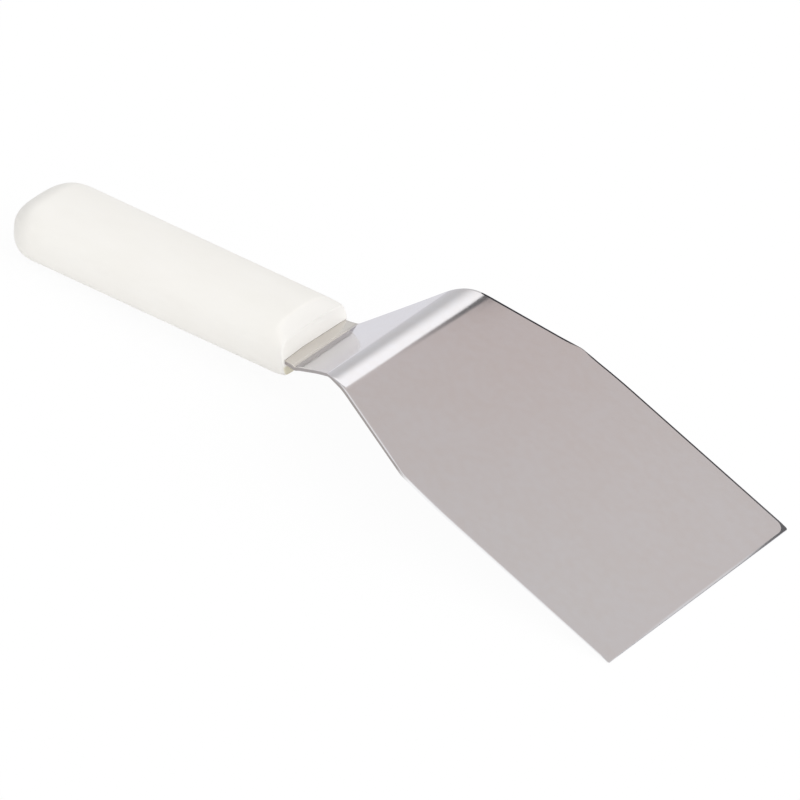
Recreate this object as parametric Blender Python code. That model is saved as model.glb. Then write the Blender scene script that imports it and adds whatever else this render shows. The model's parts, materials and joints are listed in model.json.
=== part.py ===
"""Offset griddle turner: a press-formed stainless steel blade in a moulded plastic handle.

The turner lies as it is put down with the food side under: on the blade's front edge and the handle's butt.
"""
from math import atan2, cos, hypot, pi, radians, sin, sqrt, tan

import bmesh
import bpy
from mathutils import Matrix, Vector

MM = 0.001

# Sheet
STOCK_THICKNESS = 1.5 * MM
TIP_THICKNESS = 0.8 * MM
ROLLED_EDGE_WIDTH = 0.5 * MM
ROLLED_EDGE_DEPTH = 0.2 * MM
BROKEN_EDGE = 0.12 * MM

# Bends, measured on the griddle face
STRIP_LENGTH = 4.1 * MM
HANDLE_BEND_RADIUS = 2.5 * MM
HANDLE_BEND_ANGLE = radians(33.4)
NECK_LENGTH = 27.9 * MM
MAIN_BEND_RADIUS = 14.0 * MM
MAIN_BEND_ANGLE = radians(54.7)

# Blade outline, from the end of the main bend to the front edge
BLADE_LENGTH = 127.0 * MM
BLADE_WIDTH = 101.6 * MM
SHOULDER_LENGTH = 34.4 * MM
SHOULDER_WIDTH = 99.7 * MM
SHOULDER_CORNER_RADIUS = 6.0 * MM
SIDE_EASE_LENGTH = 17.0 * MM
SIDE_EASE_RADIUS = 200.0 * MM
FRONT_CORNER_RADIUS = 0.8 * MM

# Neck outline, flaring from the handle's mouth to the middle of the main bend
NECK_FOOT_LENGTH = 3.4 * MM
NECK_FOOT_RADIUS = 21.0 * MM
NECK_WAIST_LENGTH = 24.3 * MM
NECK_WAIST_WIDTH = 54.9 * MM
NECK_WAIST_RADIUS = 220.0 * MM
NECK_TOP_WIDTH = 74.0 * MM
NECK_TOP_RADIUS = 25.0 * MM

# Handle
HANDLE_LENGTH = 121.7 * MM
HANDLE_FRONT_WIDTH = 36.0 * MM
HANDLE_FRONT_HEIGHT = 20.2 * MM
HANDLE_BUTT_WIDTH = 36.9 * MM
HANDLE_BUTT_HEIGHT = 20.8 * MM
HANDLE_DROP = 0.45 * MM
SECTION_SQUARENESS = 2.9
NOSE_LENGTH = 7.0 * MM
NOSE_RISE = 6.3 * MM
NOSE_FALL = 5.9 * MM
NOSE_LEAN = radians(11.0)
NOSE_CROWN = 6.0
MOUTH_EDGE_RADIUS = 0.7 * MM
BUTT_BULGE = 4.4 * MM
BUTT_CORNER_RADIUS = 13.6 * MM
BUTT_ROUNDING = 10.8 * MM

# Tang, hidden in the handle, with the holes that lock the plastic to it
CLEARANCE = 0.3 * MM
MOUTH_SIDE_WALL = 1.0 * MM
BUTT_END_WALL = 28.0 * MM
TANG_PARALLEL_LENGTH = 14.0 * MM
TANG_WAIST_RADIUS = 30.0 * MM
TANG_END_WIDTH = 20.0 * MM
TANG_END_RADIUS = 5.0 * MM
LOCK_HOLE_DIAMETER = 9.0 * MM
LOCK_HOLE_END_MARGIN = 16.0 * MM
LOCK_HOLE_COUNT = 3
CUT_OVERRUN = 4.0 * MM

# Fineness of curved stretches
ARC_PER_FACET = radians(4.0)
ROLLED_EDGE_FACETS = 3
SECTION_POINTS = 64
MOUTH_RINGS = 4
NOSE_RINGS = 8
BODY_RINGS = 4
BUTT_RINGS = 22
HOLE_SIDES = 32
SMOOTH_LIMIT = radians(30.0)
SETTLING_PASSES = 12

# A rounded corner takes at most this share of its shorter side
CORNER_REACH_SHARE = 0.48

TANG_WIDTH = HANDLE_FRONT_WIDTH - 2 * (MOUTH_SIDE_WALL + CLEARANCE)
TANG_LENGTH = HANDLE_LENGTH - BUTT_END_WALL - CLEARANCE
HANDLE_BEND_RUN = HANDLE_BEND_RADIUS * HANDLE_BEND_ANGLE
MAIN_BEND_RUN = MAIN_BEND_RADIUS * MAIN_BEND_ANGLE
NECK_START = STRIP_LENGTH + HANDLE_BEND_RUN
MAIN_BEND_START = NECK_START + NECK_LENGTH
BLADE_START = MAIN_BEND_START + MAIN_BEND_RUN
FRONT_EDGE = BLADE_START + BLADE_LENGTH


def clear_scene():
    """Remove whatever objects the scene holds."""
    for item in list(bpy.data.objects):
        bpy.data.objects.remove(item, do_unlink=True)


def surface_material(name, colour, roughness, metallic):
    """A Principled material with one colour."""
    material = bpy.data.materials.new(name)
    material.use_nodes = True
    shader = material.node_tree.nodes["Principled BSDF"]
    shader.inputs["Base Color"].default_value = (*colour, 1.0)
    shader.inputs["Roughness"].default_value = roughness
    shader.inputs["Metallic"].default_value = metallic
    return material


def stainless_steel():
    """Satin stainless steel."""
    return surface_material("satin_stainless_steel", (0.62, 0.60, 0.59), 0.28, 1.0)


def white_plastic():
    """White moulded polypropylene."""
    return surface_material("white_polypropylene", (0.90, 0.89, 0.86), 0.45, 0.0)


def new_object(name, mesh_maker, material=None):
    """An object whose mesh is filled by mesh_maker and shaded smooth between its sharp edges."""
    mesh = bpy.data.meshes.new(name)
    bm = bmesh.new()
    mesh_maker(bm)
    bmesh.ops.recalc_face_normals(bm, faces=bm.faces)
    bm.to_mesh(mesh)
    bm.free()
    mesh.shade_smooth()
    mesh.set_sharp_from_angle(angle=SMOOTH_LIMIT)
    if material:
        mesh.materials.append(material)
    item = bpy.data.objects.new(name, mesh)
    bpy.context.collection.objects.link(item)
    return item


def skin(bm, rings):
    """Join closed rings of points, one after another, and cap both ends."""
    loops = [[bm.verts.new(point) for point in ring] for ring in rings]
    for near, far in zip(loops, loops[1:]):
        for i in range(len(near)):
            j = (i + 1) % len(near)
            bm.faces.new((near[i], near[j], far[j], far[i]))
    bm.faces.new(loops[0])
    bm.faces.new(reversed(loops[-1]))


def add_cut(target, cutter):
    """Cut one object by another, which stays as a hidden guide."""
    cutter.hide_render = True
    cutter.display_type = "WIRE"
    cut = target.modifiers.new("cut_" + cutter.name, "BOOLEAN")
    cut.operation = "DIFFERENCE"
    cut.solver = "EXACT"
    cut.object = cutter


def rounded_corner(before, corner, after, radius):
    """Points of the arc that rounds one corner of an outline, tangent to both of its sides."""
    to_before = Vector(before) - Vector(corner)
    to_after = Vector(after) - Vector(corner)
    start, end = to_before.normalized(), to_after.normalized()
    turn = pi - start.angle(end)
    if turn < ARC_PER_FACET / 8:
        return [Vector(corner)]
    longest = CORNER_REACH_SHARE * min(to_before.length, to_after.length)
    reach = min(radius * tan(turn / 2), longest)
    centre = Vector(corner) + (start + end).normalized() * hypot(reach / tan(turn / 2), reach)
    first = Vector(corner) + start * reach - centre
    last = Vector(corner) + end * reach - centre
    side = 1.0 if first.cross(last) > 0 else -1.0
    steps = max(1, round(turn / ARC_PER_FACET))
    return [centre + Matrix.Rotation(side * turn * i / steps, 2) @ first for i in range(steps + 1)]


def blank_outline():
    """Half outline of the flat blank: (distance ahead of the handle's mouth, half width) from back to front."""
    main_bend_middle = MAIN_BEND_START + MAIN_BEND_RUN / 2
    shoulder_end = BLADE_START + SHOULDER_LENGTH
    corners = [
        ((-TANG_LENGTH, 0.0), 0.0),
        ((-TANG_LENGTH, TANG_END_WIDTH / 2), TANG_END_RADIUS),
        ((-TANG_PARALLEL_LENGTH, TANG_WIDTH / 2), TANG_WAIST_RADIUS),
        ((NECK_FOOT_LENGTH, TANG_WIDTH / 2), NECK_FOOT_RADIUS),
        ((NECK_WAIST_LENGTH, NECK_WAIST_WIDTH / 2), NECK_WAIST_RADIUS),
        ((main_bend_middle, NECK_TOP_WIDTH / 2), NECK_TOP_RADIUS),
        ((shoulder_end, SHOULDER_WIDTH / 2), SHOULDER_CORNER_RADIUS),
        ((shoulder_end + SIDE_EASE_LENGTH, BLADE_WIDTH / 2), SIDE_EASE_RADIUS),
        ((FRONT_EDGE, BLADE_WIDTH / 2), FRONT_CORNER_RADIUS),
        ((FRONT_EDGE, 0.0), 0.0),
    ]
    outline = []
    for (before, _), (corner, radius), (after, _) in zip(corners, corners[1:], corners[2:]):
        outline.extend(rounded_corner(before, corner, after, radius))
    return outline


def half_width_at(outline, run):
    """Half width of the blank at one distance ahead of the mouth."""
    for near, far in zip(outline, outline[1:]):
        if near.x <= run <= far.x and far.x > near.x:
            return near.y + (far.y - near.y) * (run - near.x) / (far.x - near.x)
    return outline[0].y if run < outline[0].x else outline[-1].y


def bend_stations(start, run, angle):
    """Distances at which a bend is divided into facets."""
    steps = max(2, round(angle / ARC_PER_FACET))
    return [start + run * i / steps for i in range(steps + 1)]


def blade_stations(outline):
    """Every distance where the sheet's outline, bend or front edge needs a cross-section."""
    runs = [point.x for point in outline]
    runs += bend_stations(STRIP_LENGTH, HANDLE_BEND_RUN, HANDLE_BEND_ANGLE)
    runs += bend_stations(MAIN_BEND_START, MAIN_BEND_RUN, MAIN_BEND_ANGLE)
    runs += [FRONT_EDGE - inset for inset in rolled_edge_insets()]
    stations = []
    for run in sorted(runs):
        if not stations or run - stations[-1] > BROKEN_EDGE / 2:
            stations.append(run)
    stations[-1] = FRONT_EDGE
    return stations


def griddle_face(run):
    """Point on the sheet's griddle face in side view, and its slope, at a distance ahead of the mouth."""
    x, z, slope = 0.0, 0.0, 0.0
    stretches = (
        (STRIP_LENGTH, 0.0),
        (HANDLE_BEND_RUN, HANDLE_BEND_ANGLE),
        (NECK_LENGTH, 0.0),
        (MAIN_BEND_RUN, -MAIN_BEND_ANGLE),
        (BLADE_LENGTH, 0.0),
    )
    left = run
    for length, turn in stretches:
        part = min(left, length)
        if turn:
            radius = length / turn
            bent = slope + part / radius
            x += radius * (sin(bent) - sin(slope))
            z += radius * (cos(slope) - cos(bent))
            slope = bent
        else:
            x += part * cos(slope)
            z += part * sin(slope)
        left -= part
        if left <= 0:
            break
    return x, z, slope


def thickness_at(run):
    """Thickness of the sheet, ground away on the food side from the main bend to the front edge."""
    ground = max(0.0, run - BLADE_START) / BLADE_LENGTH
    return STOCK_THICKNESS + (TIP_THICKNESS - STOCK_THICKNESS) * ground


def rolled_edge_insets():
    """Distances from the blank's edge of the points that carry its rolled edge."""
    turns = [pi / 2 * i / ROLLED_EDGE_FACETS for i in range(ROLLED_EDGE_FACETS, -1, -1)]
    return [ROLLED_EDGE_WIDTH * (1 - cos(turn)) for turn in turns]


def rolled_edge_drop(inset):
    """How far the griddle face has rolled down at a distance from the blank's edge."""
    share = max(0.0, 1.0 - inset / ROLLED_EDGE_WIDTH)
    return ROLLED_EDGE_DEPTH * (1 - sqrt(max(0.0, 1 - share * share)))


def sheet_ring(run, half_width):
    """Cross-section of the bent sheet: across the griddle face, round both edges and the food side."""
    x, z, slope = griddle_face(run)
    thickness = thickness_at(run)
    to_front = FRONT_EDGE - run
    side = []
    for inset in rolled_edge_insets():
        side.append((half_width - inset, rolled_edge_drop(min(inset, to_front))))
    side.append((half_width, thickness - BROKEN_EDGE))
    side.append((half_width - BROKEN_EDGE, thickness))
    profile = side + [(-across, down) for across, down in reversed(side)]
    return [Vector((x + down * sin(slope), across, z - down * cos(slope))) for across, down in profile]


def lock_hole_places():
    """Distances behind the mouth of the tang's lock holes, spread evenly between its two ends."""
    first = LOCK_HOLE_END_MARGIN
    span = TANG_LENGTH - 2 * LOCK_HOLE_END_MARGIN
    return [first + span * i / max(1, LOCK_HOLE_COUNT - 1) for i in range(LOCK_HOLE_COUNT)]


def fill_lock_posts(bm, diameter):
    """Upright cylinders at the lock holes, long enough to pass through the sheet."""
    height = STOCK_THICKNESS + 2 * CUT_OVERRUN
    for place in lock_hole_places():
        centre = Matrix.Translation((-place, 0.0, -STOCK_THICKNESS / 2))
        bmesh.ops.create_cone(bm, cap_ends=True, segments=HOLE_SIDES, radius1=diameter / 2,
                              radius2=diameter / 2, depth=height, matrix=centre)


def make_blade(parent):
    """Blade, neck and tang, pressed from one sheet, with the tang's lock holes pierced."""
    outline = blank_outline()

    def fill(bm):
        skin(bm, [sheet_ring(run, half_width_at(outline, run)) for run in blade_stations(outline)])

    blade = new_object("blade_with_tang", fill, stainless_steel())
    holes = new_object("lock_hole_cutter", lambda bm: fill_lock_posts(bm, LOCK_HOLE_DIAMETER))
    add_cut(blade, holes)
    for item in (blade, holes):
        item.parent = parent
    return blade


def pocket_ring(run, half_width):
    """Cross-section of the space that the tang takes in the handle, with its clearance."""
    across = half_width + CLEARANCE
    top, bottom = CLEARANCE, -STOCK_THICKNESS - CLEARANCE
    return [Vector((run, side, up)) for side, up in
            ((across, top), (-across, top), (-across, bottom), (across, bottom))]


def fill_pocket(bm):
    """The tang's space, open past the mouth."""
    outline = blank_outline()
    runs = [point.x for point in outline if point.x < 0]
    rings = [pocket_ring(run, half_width_at(outline, run)) for run in runs]
    rings[0] = pocket_ring(-TANG_LENGTH - CLEARANCE, outline[0].y)
    mouth_width = half_width_at(outline, 0.0)
    rings += [pocket_ring(0.0, mouth_width), pocket_ring(CUT_OVERRUN, mouth_width)]
    skin(bm, rings)


def butt_half_width(run):
    """Half width of the handle in plan: parallel sides, round corners and a broad arc for an end."""
    half = HANDLE_BUTT_WIDTH / 2
    arc = (half * half + BUTT_BULGE * BUTT_BULGE) / (2 * BUTT_BULGE)
    corner = min(BUTT_CORNER_RADIUS, half)
    arc_centre = HANDLE_LENGTH - arc
    corner_side = half - corner
    corner_run = arc_centre + sqrt((arc - corner) ** 2 - corner_side ** 2)
    touch = arc_centre + (corner_run - arc_centre) * arc / (arc - corner)
    if run <= corner_run:
        return half
    if run <= touch:
        return corner_side + sqrt(max(0.0, corner ** 2 - (run - corner_run) ** 2))
    return sqrt(max(0.0, arc ** 2 - (run - arc_centre) ** 2))


def mouth_edge_inset(run):
    """How far the small rounding round the front face draws the sides in."""
    left = max(0.0, MOUTH_EDGE_RADIUS - run)
    return MOUTH_EDGE_RADIUS - sqrt(MOUTH_EDGE_RADIUS ** 2 - left ** 2)


def under_nose(up, half_height, run):
    """Height of a point of the section once the nose's slope, straight across the handle, has drawn it in."""
    if up == 0 or run >= NOSE_LENGTH:
        return up
    face = NOSE_RISE + HANDLE_DROP if up > 0 else NOSE_FALL - HANDLE_DROP
    face_share = min(1.0, face / half_height)
    share = face_share + (1 - face_share) * sin(pi / 2 * run / NOSE_LENGTH)
    limit = (abs(up) / half_height) ** NOSE_CROWN * (share ** -NOSE_CROWN - 1)
    return up / (1 + limit) ** (1 / NOSE_CROWN)


def nose_lean(run, rise):
    """How far back the leaning front face carries a point at its rise above the griddle face."""
    return rise * tan(NOSE_LEAN) * max(0.0, 1 - run / NOSE_LENGTH)


def handle_ring(run):
    """Cross-section of the handle at a distance behind the mouth: a squared oval."""
    along = run / HANDLE_LENGTH
    taper = HANDLE_FRONT_WIDTH / HANDLE_BUTT_WIDTH
    inset = mouth_edge_inset(run)
    half_width = butt_half_width(run) * (taper + (1 - taper) * along) - inset
    height = HANDLE_FRONT_HEIGHT + (HANDLE_BUTT_HEIGHT - HANDLE_FRONT_HEIGHT) * along
    past = max(0.0, run - HANDLE_LENGTH + BUTT_ROUNDING) / BUTT_ROUNDING
    half_height = height / 2 * sqrt(max(0.0, 1 - past * past)) - inset
    ring = []
    for i in range(SECTION_POINTS):
        angle = 2 * pi * i / SECTION_POINTS
        wide = abs(cos(angle)) / half_width
        high = abs(sin(angle)) / half_height
        reach = (wide ** SECTION_SQUARENESS + high ** SECTION_SQUARENESS) ** (-1 / SECTION_SQUARENESS)
        rise = under_nose(reach * sin(angle), half_height, run) - HANDLE_DROP
        ring.append(Vector((-run - nose_lean(run, rise), reach * cos(angle), rise)))
    return ring


def fill_handle(bm):
    """The handle's outer form: leaning front face, sloped nose, tapered body and rounded butt."""
    butt_depth = max(BUTT_ROUNDING, BUTT_CORNER_RADIUS + BUTT_BULGE)
    slope = NOSE_LENGTH - MOUTH_EDGE_RADIUS
    body = HANDLE_LENGTH - butt_depth - NOSE_LENGTH
    runs = [MOUTH_EDGE_RADIUS * (1 - cos(pi / 2 * i / MOUTH_RINGS)) for i in range(MOUTH_RINGS + 1)]
    runs += [MOUTH_EDGE_RADIUS + slope * i / NOSE_RINGS for i in range(1, NOSE_RINGS + 1)]
    runs += [NOSE_LENGTH + body * i / BODY_RINGS for i in range(1, BODY_RINGS + 1)]
    runs += [HANDLE_LENGTH - butt_depth * (1 - sin(pi / 2 * i / BUTT_RINGS)) for i in range(1, BUTT_RINGS)]
    skin(bm, [handle_ring(run) for run in runs])


def make_handle(parent):
    """Handle moulded round the tang, with a post of its plastic through each lock hole."""
    handle = new_object("handle", fill_handle, white_plastic())
    pocket = new_object("tang_pocket_cutter", fill_pocket)
    posts = new_object("lock_post_guide", lambda bm: fill_lock_posts(bm, LOCK_HOLE_DIAMETER - 2 * CLEARANCE))
    add_cut(pocket, posts)
    add_cut(handle, pocket)
    for item in (handle, pocket, posts):
        item.parent = parent
    return handle


def resting_tilt(points):
    """Turn about the across axis that levels the lowest points before and behind the handle's mouth."""
    tilt = 0.0
    for _ in range(SETTLING_PASSES):
        turned = [Matrix.Rotation(tilt, 3, "Y") @ point for point in points]
        front = min((point for point in turned if point.x > 0), key=lambda point: point.z)
        back = min((point for point in turned if point.x <= 0), key=lambda point: point.z)
        tilt += atan2(front.z - back.z, front.x - back.x)
    return tilt


def lay_down(frame, pieces):
    """Tilt the whole turner to its resting place, with the origin under the middle of its box."""
    points = [vertex.co.copy() for piece in pieces for vertex in piece.data.vertices]
    tilt = resting_tilt(points)
    turned = [Matrix.Rotation(tilt, 3, "Y") @ point for point in points]
    low = min(point.x for point in turned)
    high = max(point.x for point in turned)
    frame.rotation_euler = (0.0, tilt, 0.0)
    frame.location = (-(low + high) / 2, 0.0, -min(point.z for point in turned))


def main():
    """Build the turner."""
    clear_scene()
    frame = bpy.data.objects.new("turner_frame", None)
    bpy.context.collection.objects.link(frame)
    pieces = [make_blade(frame), make_handle(frame)]
    lay_down(frame, pieces)
    bpy.context.view_layer.update()


main()
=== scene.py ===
"""Looks of the griddle turner: its fine meshes, its finishes, and the studio and camera around it."""

import json
from math import atan2, cos, exp, hypot, pi, radians, sin, sqrt, tan

import bmesh
import bpy
from bpy.props import FloatProperty, FloatVectorProperty, IntProperty, PointerProperty
from mathutils import Matrix, Vector


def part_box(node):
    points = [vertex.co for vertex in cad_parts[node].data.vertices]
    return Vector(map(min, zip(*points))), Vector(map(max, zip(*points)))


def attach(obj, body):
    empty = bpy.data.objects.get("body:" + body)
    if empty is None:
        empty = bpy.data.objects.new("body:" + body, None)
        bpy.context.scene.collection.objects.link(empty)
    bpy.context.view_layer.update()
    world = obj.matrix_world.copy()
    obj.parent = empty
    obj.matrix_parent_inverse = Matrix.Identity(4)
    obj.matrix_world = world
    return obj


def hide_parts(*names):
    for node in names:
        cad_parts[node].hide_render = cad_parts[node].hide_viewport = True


bl_info = {
    "name": "Griddle Turner Looks",
    "version": (1, 0, 0),
    "blender": (4, 5, 0),
    "location": "3D View > Sidebar > Turner",
    "description": "Fine meshes, finishes and studio for an offset griddle turner",
    "category": "Object",
}

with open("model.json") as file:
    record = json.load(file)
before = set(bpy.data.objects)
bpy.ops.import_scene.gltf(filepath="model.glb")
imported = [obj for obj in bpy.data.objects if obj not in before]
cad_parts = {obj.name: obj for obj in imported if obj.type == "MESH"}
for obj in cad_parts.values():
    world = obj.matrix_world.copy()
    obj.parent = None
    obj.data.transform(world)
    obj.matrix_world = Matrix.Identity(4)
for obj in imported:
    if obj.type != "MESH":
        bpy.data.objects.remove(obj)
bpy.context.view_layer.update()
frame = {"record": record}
MM = 0.001
ROOT = "root"
FLAT_FACE_AXIS = Vector(frame["record"]["mounts"][0]["axis"])

# Fineness of the meshes
ARC_PER_FACET = radians(1.0)
SHEET_STEP = 2.5 * MM
FRONT_ZONE = 5.5 * MM
FRONT_STEP = 0.22 * MM
ROLL_FACETS = 6
SIDE_COLUMNS = 22
MIDDLE_COLUMNS = 8
HANDLE_POINTS = 192
MOUTH_RINGS = 6
NOSE_RINGS = 20
BODY_RINGS = 24
BUTT_RINGS = 44
CIRCLE_SIDES = 64
SMOOTH_LIMIT = radians(30.0)

# Least turn of a corner that gets an arc, and the share of its shorter side that the arc may take
STRAIGHT_TURN = ARC_PER_FACET / 8
LARGEST_CORNER_SHARE = 0.48

# Share of the front face's hollow behind the mouth's line, and digits that tell two points apart
LEVEL_SHARE = 0.67
PLACE_DIGITS = 6

# Height of a lock post, and least height of an edge's face, in thicknesses of the sheet and of its tip
POST_HEIGHT = 3
EDGE_HEIGHT = 0.25

# Camera: width of its sensor in millimetres, and end of its view in camera distances
SENSOR_WIDTH = 36.0
CLIP_DISTANCES = 4

# Steel: its mottling, what each noise does to it, and where its painted reflection of the handle and its painted
# shade next to the handle end
STEEL_CLOUDS = 22 * MM
STEEL_SPECKS = 3.5 * MM
GRAIN_STRETCH = (1.0, 90.0, 1.0)
WARM_CLOUDS = 2.2
WARM_SPECKS = 2.3
ROUGH_SPECKS = 0.015
ROUGH_GRAIN = 0.03
GRAIN_HEIGHT = 0.002 * MM
STEEL_CLOUD_HEIGHT = 0.004 * MM
STEEL_RELIEF = 0.5
# Painted reflection of the white handle on the neck's foot: where it fades out across the neck
PAINTED_REFLECTION_SIDE = (-14 * MM, 8 * MM)
# Painted shade on the strip between the handle and its bend: where it gives way to the plain steel
STRIP_SHADE_CHANGE = (1.1, 1.7)

# Plastic: its mottling, what each noise does to it, and the bounds of its painted shade on the nose and below the
# tang and of its painted light on the front face
PORES = 0.35 * MM
CLOUD_STRETCH = (2.2, 1.0, 1.0)
SHADE_CLOUDS = 1.8
ROUGH_CLOUDS = 0.06
ROUGH_PORES = 0.04
PORE_HEIGHT = 0.006 * MM
PLASTIC_CLOUD_HEIGHT = 0.02 * MM
# Painted shade on the nose's slope, by how far its surface faces ahead
NOSE_SHADE_FACING = (0.04, 0.38)
FRONT_FACING = (0.55, 0.95)
# Painted light on the front face: weaker towards one side and dimmed higher above the mouth
FRONT_LIGHT_SIDE = (-17 * MM, 1 * MM)
FRONT_LIGHT_LEAST = 0.5
FRONT_LIGHT_RISE = (1.0 * MM, 6.5 * MM)
FRONT_LIGHT_DIMMING = 0.45
# Painted shade on the front face below the tang: heights below the mouth where it comes in
UNDER_TANG_SHADE_RISE = (-3.0 * MM, -1.5 * MM)

# World: where the extra light and the sky come up
KEY_SPREAD = (0.1, 1.0)
SKY_RISE = (0.0, 0.8)

# The cards that the steel mirrors: corners as x and z in metres, or x and y overhead
LIGHT_CARD = ((-0.80, 0.0), (-0.06, 0.0), (-0.045, 0.15), (-0.016, 0.215), (-0.016, 0.234), (-0.022, 0.247),
              (-0.026, 0.258), (-0.029, 0.267), (-0.031, 0.275), (-0.033, 0.286), (-0.039, 0.30), (-0.060, 0.37),
              (-0.060, 0.45), (-0.80, 0.45))
GREY_CARD = ((-0.10, 0.0), (0.175, 0.0), (0.175, 0.245), (0.50, 0.245), (0.50, 1.20), (-0.10, 1.20))
DARK_CARD = ((-0.06, 0.0), (0.45, 0.0), (0.40, 0.12), (0.25, 0.165), (0.20, 0.181), (0.18, 0.178), (0.165, 0.165),
             (0.150, 0.156), (0.120, 0.158), (0.065, 0.172), (0.030, 0.186), (0.017, 0.200), (0.013, 0.2245),
             (0.008, 0.234), (0.002, 0.247), (-0.005, 0.258), (-0.009, 0.267), (-0.031, 0.280), (-0.06, 0.280))
FRONT_CARD = ((0.175, 0.10), (0.50, 0.10), (0.50, 0.245), (0.175, 0.245))
TOP_CARD = ((-0.28, -0.50), (0.22, -0.50), (0.22, 0.20), (-0.28, 0.20))

# Where the cards change their shade, in metres
CARD_FOOT = (0.0, 0.12)
CARD_RISE = (0.09, 0.225)
CARD_SLANT = 0.25
GREY_CHANGE = (0.0, 0.13)
GREY_COOLING = (0.22, 0.32)
DARK_FADE = (0.228, 0.296)
DARK_LIFT = (0.15, 0.22)
DARK_FOOT = (0.03, 0.115)
DARK_RIGHT = (0.09, 0.15)
TOP_START = (0.04, 0.14)
CARD_GAP = 0.5 * MM


def length(name, description, default):
    """A size in metres."""
    return FloatProperty(name=name, description=description, default=default, min=0.0, unit="LENGTH", precision=5)


def angle(name, description, degrees):
    """An angle, given in degrees."""
    return FloatProperty(name=name, description=description, default=radians(degrees), subtype="ANGLE")


def share(name, description, default):
    """A plain number without a unit."""
    return FloatProperty(name=name, description=description, default=default, precision=4)


def colour(name, description, default):
    """A linear colour."""
    return FloatVectorProperty(name=name, description=description, default=default, size=3, min=0.0, subtype="COLOR")


class TurnerSheetSizes(bpy.types.PropertyGroup):
    """Sizes of the one sheet that makes the blade, the neck and the tang."""
    stock: length("Stock", "Thickness of the sheet as it is cut", 1.5 * MM)
    tip: length("Tip", "Thickness at the front edge, after grinding", 0.8 * MM)
    roll_width: length("Roll width", "How far in from the edge the griddle face rolls down", 0.5 * MM)
    roll_depth: length("Roll depth", "How far the griddle face rolls down at the edge", 0.2 * MM)
    ground_roll: share("Ground roll", "Share of the roll that is left where the edge is ground", 0.5)
    ground_start: length("Ground start", "Length over which the sheared edge turns into the ground one", 8.0 * MM)
    broken_edge: length("Broken edge", "Chamfer on the food side's edges", 0.12 * MM)
    strip: length("Strip", "Flat length in front of the handle", 4.1 * MM)
    handle_bend_radius: length("Handle bend radius", "Radius where the neck rises", 2.5 * MM)
    handle_bend: angle("Handle bend", "How far the neck rises from the handle's line", 33.4)
    neck: length("Neck", "Flat length between the two bends", 27.9 * MM)
    main_bend_radius: length("Main bend radius", "Radius where the blade turns down", 14.0 * MM)
    main_bend: angle("Main bend", "How far the blade turns down from the neck", 54.7)
    ease_radius: length("Ease radius", "Larger radius in which the main bend runs out", 30.0 * MM)
    ease: angle("Ease", "Part of the main bend that has the larger radius", 5.5)
    blade: length("Blade", "Length of the blade past a plain main bend", 127.0 * MM)
    blade_width: length("Blade width", "Width at the front edge", 101.6 * MM)
    shoulder: length("Shoulder", "Length of the sloping shoulders", 34.4 * MM)
    shoulder_width: length("Shoulder width", "Width at the shoulders' front corners", 99.7 * MM)
    shoulder_radius: length("Shoulder radius", "Rounding of the shoulders' corners", 6.0 * MM)
    side_ease: length("Side ease", "Length over which the sides run out to full width", 17.0 * MM)
    side_ease_radius: length("Side ease radius", "Rounding where the sides become parallel", 200.0 * MM)
    front_radius: length("Front radius", "Rounding of the front corners", 0.8 * MM)
    neck_foot: length("Neck foot", "How far ahead of the mouth the neck starts to flare", 3.4 * MM)
    neck_foot_radius: length("Neck foot radius", "Rounding at the neck's foot", 21.0 * MM)
    waist: length("Waist", "How far ahead of the mouth the flare steepens", 24.3 * MM)
    waist_width: length("Waist width", "Width there", 54.9 * MM)
    waist_radius: length("Waist radius", "Rounding there", 220.0 * MM)
    neck_top_width: length("Neck top width", "Width at the middle of the main bend", 74.0 * MM)
    neck_top_radius: length("Neck top radius", "Rounding there", 25.0 * MM)
    tang_width: length("Tang width", "Width of the tang at the mouth", 33.4 * MM)
    tang: length("Tang", "Length of the tang in the handle", 93.4 * MM)
    tang_parallel: length("Tang parallel", "Length before the tang narrows", 14.0 * MM)
    tang_waist_radius: length("Tang waist radius", "Rounding where the tang starts to narrow", 30.0 * MM)
    tang_end_width: length("Tang end width", "Width at the tang's end", 20.0 * MM)
    tang_end_radius: length("Tang end radius", "Rounding of the tang's end", 5.0 * MM)
    hole: length("Lock hole", "Diameter of the tang's lock holes", 9.0 * MM)
    hole_margin: length("Hole margin", "Distance of the outer holes from the tang's ends", 16.0 * MM)
    hole_count: IntProperty(name="Lock holes", description="Number of lock holes in the tang", default=3, min=1)
    bevel: length("Bevel", "Width of the ground bevel round the blade's griddle face", 0.85 * MM)
    shoulder_bevel: length("Shoulder bevel", "Width of the bevel along the sloping shoulders", 1.15 * MM)
    bevel_slope: angle("Bevel slope", "How far the bevel falls away", 9.0)
    bevel_break: length("Bevel break", "Length over which the bevel dies out beside a shoulder's corner", 7.0 * MM)
    bevel_corner: length("Bevel corner", "Radius of the flat face inside the bevel at the front corners", 3.6 * MM)
    bevel_start: length("Bevel start", "Softness of the line where the bevel starts", 0.08 * MM)


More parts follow.
